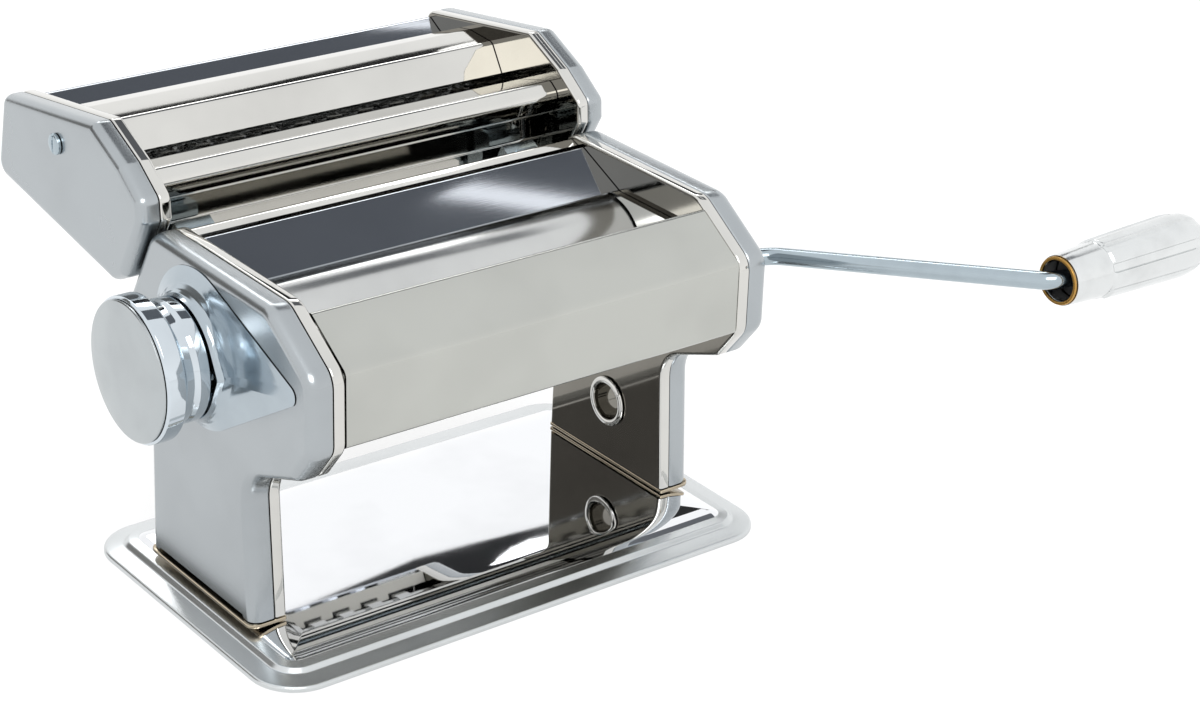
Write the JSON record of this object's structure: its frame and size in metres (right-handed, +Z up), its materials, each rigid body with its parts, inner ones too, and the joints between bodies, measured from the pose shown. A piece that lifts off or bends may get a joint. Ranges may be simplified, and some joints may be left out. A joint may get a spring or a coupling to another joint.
{
  "type": "hand-cranked pasta roller machine",
  "caption": "Hand-cranked dough sheeting machine with a thickness knob, a removable crank and a lift-off cutter unit, on a pressed base.",
  "frame": {"origin": "centre of the whole box, crank and cutter unit included, at the level it stands on", "axes": "+X along the rollers towards the crank, +Y from the front towards the cutter unit, +Z up"},
  "size_m": [0.3236, 0.2678, 0.1458],
  "materials": {
    "base_plate": "bright plated pressed steel",
    "left_foot_plate": "thin warm-toned strip",
    "right_foot_plate": "thin warm-toned strip",
    "left_side_plate": "polished nickel plate",
    "right_side_plate": "polished nickel plate",
    "left_side_cover": "satin",
    "right_side_cover": "satin",
    "front_panel": "polished",
    "rear_panel": "polished",
    "hopper_rear_plate": "polished",
    "left_dough_guide": "satin",
    "right_dough_guide": "satin",
    "front_roller": "ground satin",
    "rear_roller": "ground satin",
    "front_roller_gear": "oiled machined steel",
    "rear_roller_gear": "oiled machined steel",
    "left_bearing_bush": "self-lubricating plastic",
    "right_bearing_bush": "self-lubricating plastic",
    "left_roller_carrier": "self-lubricating plastic",
    "right_roller_carrier": "self-lubricating plastic",
    "front_scraper": "plain",
    "rear_scraper": "plain",
    "front_tie_rod": "zinc plated",
    "rear_tie_rod": "zinc plated",
    "clamp_hole_sleeve": "polished rolled collar",
    "knob_boss": "bright",
    "index_shaft": "turned",
    "knob_spring": "spring wire",
    "index_pin": "turned",
    "regulator_knob": "turned and plated",
    "knob_end_disc": "satin dome",
    "crank_rod": "bright zinc",
    "crank_grip": "bright plated plastic",
    "grip_mouth_ring": "worn brass-toned edge",
    "grip_bush": "plain",
    "left_rail": "bright",
    "right_rail": "bright",
    "cutter_left_hook": "bright",
    "cutter_right_hook": "bright",
    "cutter_left_plate": "polished nickel plate",
    "cutter_right_plate": "polished nickel plate",
    "cutter_left_cover": "satin",
    "cutter_right_cover": "satin",
    "left_cutter_screw": "zinc plated",
    "right_cutter_screw": "zinc plated",
    "cutter_tie_rod": "zinc plated",
    "cutter_rear_plate": "polished",
    "cutter_roof": "polished",
    "cutter_front_guard": "polished",
    "wide_cutter_front_roller": "turned",
    "wide_cutter_rear_roller": "turned",
    "narrow_cutter_front_roller": "turned",
    "narrow_cutter_rear_roller": "turned",
    "wide_cutter_front_gear": "machined",
    "wide_cutter_rear_gear": "machined",
    "narrow_cutter_front_gear": "machined",
    "narrow_cutter_rear_gear": "machined",
    "wide_cutter_comb": "plain",
    "narrow_cutter_comb": "plain"
  },
  "bodies": {
    "frame": {"base_plate": "base_plate", "left_foot_plate": "left_foot_plate", "right_foot_plate": "right_foot_plate", "left_side_plate": "left_side_plate", "right_side_plate": "right_side_plate", "left_side_cover": "left_side_cover", "right_side_cover": "right_side_cover", "front_panel": "front_panel", "rear_panel": "rear_panel", "hopper_rear_plate": "hopper_rear_plate", "left_dough_guide": "left_dough_guide", "right_dough_guide": "right_dough_guide", "left_bearing_bush": "left_bearing_bush", "right_bearing_bush": "right_bearing_bush", "front_scraper": "front_scraper", "rear_scraper": "rear_scraper", "front_tie_rod": "front_tie_rod", "rear_tie_rod": "rear_tie_rod", "clamp_hole_sleeve": "clamp_hole_sleeve", "knob_boss": "knob_boss", "knob_spring": "knob_spring", "left_rail": "left_rail", "right_rail": "right_rail"},
    "front_roller": {"front_roller": "front_roller", "front_roller_gear": "front_roller_gear"},
    "crank": {"crank_rod": "crank_rod"},
    "grip": {"crank_grip": "crank_grip", "grip_mouth_ring": "grip_mouth_ring", "grip_bush": "grip_bush"},
    "roller_carrier": {"left_roller_carrier": "left_roller_carrier", "right_roller_carrier": "right_roller_carrier"},
    "rear_roller": {"rear_roller": "rear_roller", "rear_roller_gear": "rear_roller_gear"},
    "index_shaft": {"index_shaft": "index_shaft"},
    "knob": {"regulator_knob": "regulator_knob", "knob_end_disc": "knob_end_disc", "index_pin": "index_pin"},
    "cutter_unit": {"cutter_left_hook": "cutter_left_hook", "cutter_right_hook": "cutter_right_hook", "cutter_left_plate": "cutter_left_plate", "cutter_right_plate": "cutter_right_plate", "cutter_left_cover": "cutter_left_cover", "cutter_right_cover": "cutter_right_cover", "left_cutter_screw": "left_cutter_screw", "right_cutter_screw": "right_cutter_screw", "cutter_tie_rod": "cutter_tie_rod", "cutter_rear_plate": "cutter_rear_plate", "cutter_roof": "cutter_roof", "cutter_front_guard": "cutter_front_guard", "wide_cutter_comb": "wide_cutter_comb", "narrow_cutter_comb": "narrow_cutter_comb"},
    "wide_front": {"wide_cutter_front_roller": "wide_cutter_front_roller", "wide_cutter_front_gear": "wide_cutter_front_gear"},
    "wide_rear": {"wide_cutter_rear_roller": "wide_cutter_rear_roller", "wide_cutter_rear_gear": "wide_cutter_rear_gear"},
    "narrow_front": {"narrow_cutter_front_roller": "narrow_cutter_front_roller", "narrow_cutter_front_gear": "narrow_cutter_front_gear"},
    "narrow_rear": {"narrow_cutter_rear_roller": "narrow_cutter_rear_roller", "narrow_cutter_rear_gear": "narrow_cutter_rear_gear"}
  },
  "joints": [
    {"name": "front_roller_spin", "type": "hinge", "parent": "frame", "child": "front_roller", "pos_m": [-0.04865, -0.02527, 0.0894], "axis": [1, 0, 0], "continuous": true},
    {"name": "crank_pull", "type": "slide", "parent": "front_roller", "child": "crank", "axis": [1, 0, 0], "range_m": [0, 0.025]},
    {"name": "grip_spin", "type": "hinge", "parent": "crank", "child": "grip", "pos_m": [0.13, -0.12327, 0.1075], "axis": [1, 0, 0], "continuous": true},
    {"name": "carrier_slide", "type": "slide", "parent": "frame", "child": "roller_carrier", "axis": [0, 1, 0], "range_m": [0, 0.0024]},
    {"name": "rear_roller_spin", "type": "hinge", "parent": "roller_carrier", "child": "rear_roller", "pos_m": [-0.04865, 0.00973, 0.0894], "axis": [1, 0, 0], "continuous": true},
    {"name": "knob_turn", "type": "hinge", "parent": "frame", "child": "index_shaft", "pos_m": [-0.146, 0.00973, 0.0894], "axis": [-1, 0, 0], "range_deg": [0, 290]},
    {"name": "knob_pull", "type": "slide", "parent": "index_shaft", "child": "knob", "axis": [-1, 0, 0], "range_m": [0, 0.004], "stiffness_N_per_m": 900, "springref_m": -0.004},
    {"name": "cutter_lift_off", "type": "slide", "parent": "frame", "child": "cutter_unit", "axis": [0, -0.4876, 0.8731], "range_m": [0, 0.05]},
    {"name": "wide_front_spin", "type": "hinge", "parent": "cutter_unit", "child": "wide_front", "pos_m": [-0.04865, 0.10543, 0.118], "axis": [1, 0, 0], "continuous": true},
    {"name": "wide_rear_spin", "type": "hinge", "parent": "cutter_unit", "child": "wide_rear", "pos_m": [-0.04865, 0.12003, 0.118], "axis": [1, 0, 0], "continuous": true},
    {"name": "narrow_front_spin", "type": "hinge", "parent": "cutter_unit", "child": "narrow_front", "pos_m": [-0.04865, 0.07393, 0.115], "axis": [1, 0, 0], "continuous": true},
    {"name": "narrow_rear_spin", "type": "hinge", "parent": "cutter_unit", "child": "narrow_rear", "pos_m": [-0.04865, 0.08853, 0.115], "axis": [1, 0, 0], "continuous": true}
  ],
  "couplings": [
    {"joint": "rear_roller_spin", "follows": "front_roller_spin", "ratio": -1},
    {"joint": "knob_turn", "follows": "carrier_slide", "rad_per_m": 2108.9},
    {"joint": "wide_rear_spin", "follows": "wide_front_spin", "ratio": -1},
    {"joint": "narrow_rear_spin", "follows": "narrow_front_spin", "ratio": -1}
  ]
}
